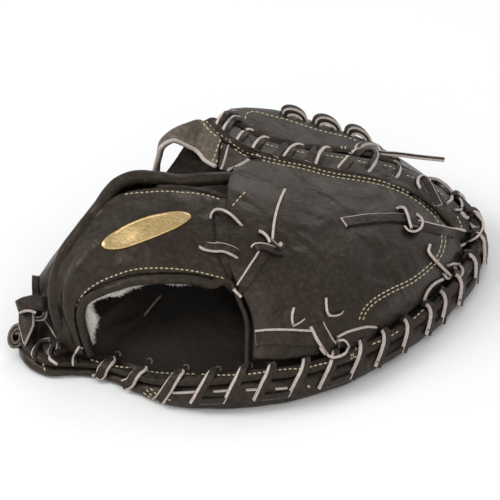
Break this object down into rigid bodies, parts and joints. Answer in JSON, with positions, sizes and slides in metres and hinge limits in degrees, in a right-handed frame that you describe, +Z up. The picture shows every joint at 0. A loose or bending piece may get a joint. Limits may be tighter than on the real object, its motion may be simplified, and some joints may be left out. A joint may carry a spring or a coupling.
{
  "type": "catcher mitt",
  "caption": "Black leather catcher mitt lying on its rim, back up, with wrist strap, hand opening, crotch loop, laced rim and tied lace ends",
  "frame": {"origin": "middle of the base on the surface the mitt rests on", "axes": "+X from thumb side to little-finger side, +Y from heel to fingertips, +Z up through the back of the mitt"},
  "size_m": [0.2434, 0.3002, 0.1135],
  "materials": {
    "smooth_leather": "smooth black leather",
    "soft_leather": "soft black leather",
    "lace": "dark rawhide lace with pale cut edges",
    "pile": "short grey pile",
    "badge": "gold-toned foil, plain"
  },
  "bodies": {
    "root": {"palm_pad": "smooth_leather", "rim_binding": "soft_leather", "finger_back": "smooth_leather", "top_strip": "soft_leather", "web_panel": "smooth_leather", "thumb_back": "smooth_leather", "belt": "smooth_leather", "mouth_binding": "soft_leather", "belt_roll": "soft_leather", "crotch_band": "soft_leather", "crotch_tab": "soft_leather", "crotch_gusset": "smooth_leather", "fleece_lining": "pile", "badge": "badge", "tie_strap": "lace", "tie_back": "lace", "tie_low": "lace", "tie_tip": "lace", "tie_side": "lace", "tie_upper": "lace", "pass_left": "lace", "pass_right": "lace", "rim_lace_01": "lace", "rim_lace_02": "lace", "rim_lace_03": "lace", "rim_lace_04": "lace", "rim_lace_05": "lace", "rim_lace_06": "lace", "rim_lace_07": "lace", "rim_lace_08": "lace", "rim_lace_09": "lace", "rim_lace_10": "lace", "rim_lace_11": "lace", "rim_lace_12": "lace", "rim_lace_13": "lace", "rim_lace_14": "lace", "rim_lace_15": "lace", "rim_lace_16": "lace", "rim_lace_17": "lace", "rim_lace_18": "lace", "strip_lace_1": "lace", "strip_lace_2": "lace", "strip_lace_3": "lace", "strip_lace_4": "lace", "strip_lace_5": "lace", "strip_lace_6": "lace", "strip_lace_7": "lace", "strip_lace_8": "lace", "ridge_hoop_1": "lace", "ridge_hoop_2": "lace", "ridge_hoop_3": "lace", "ridge_tie": "lace", "heel_tie": "lace"}
  },
  "joints": []
}
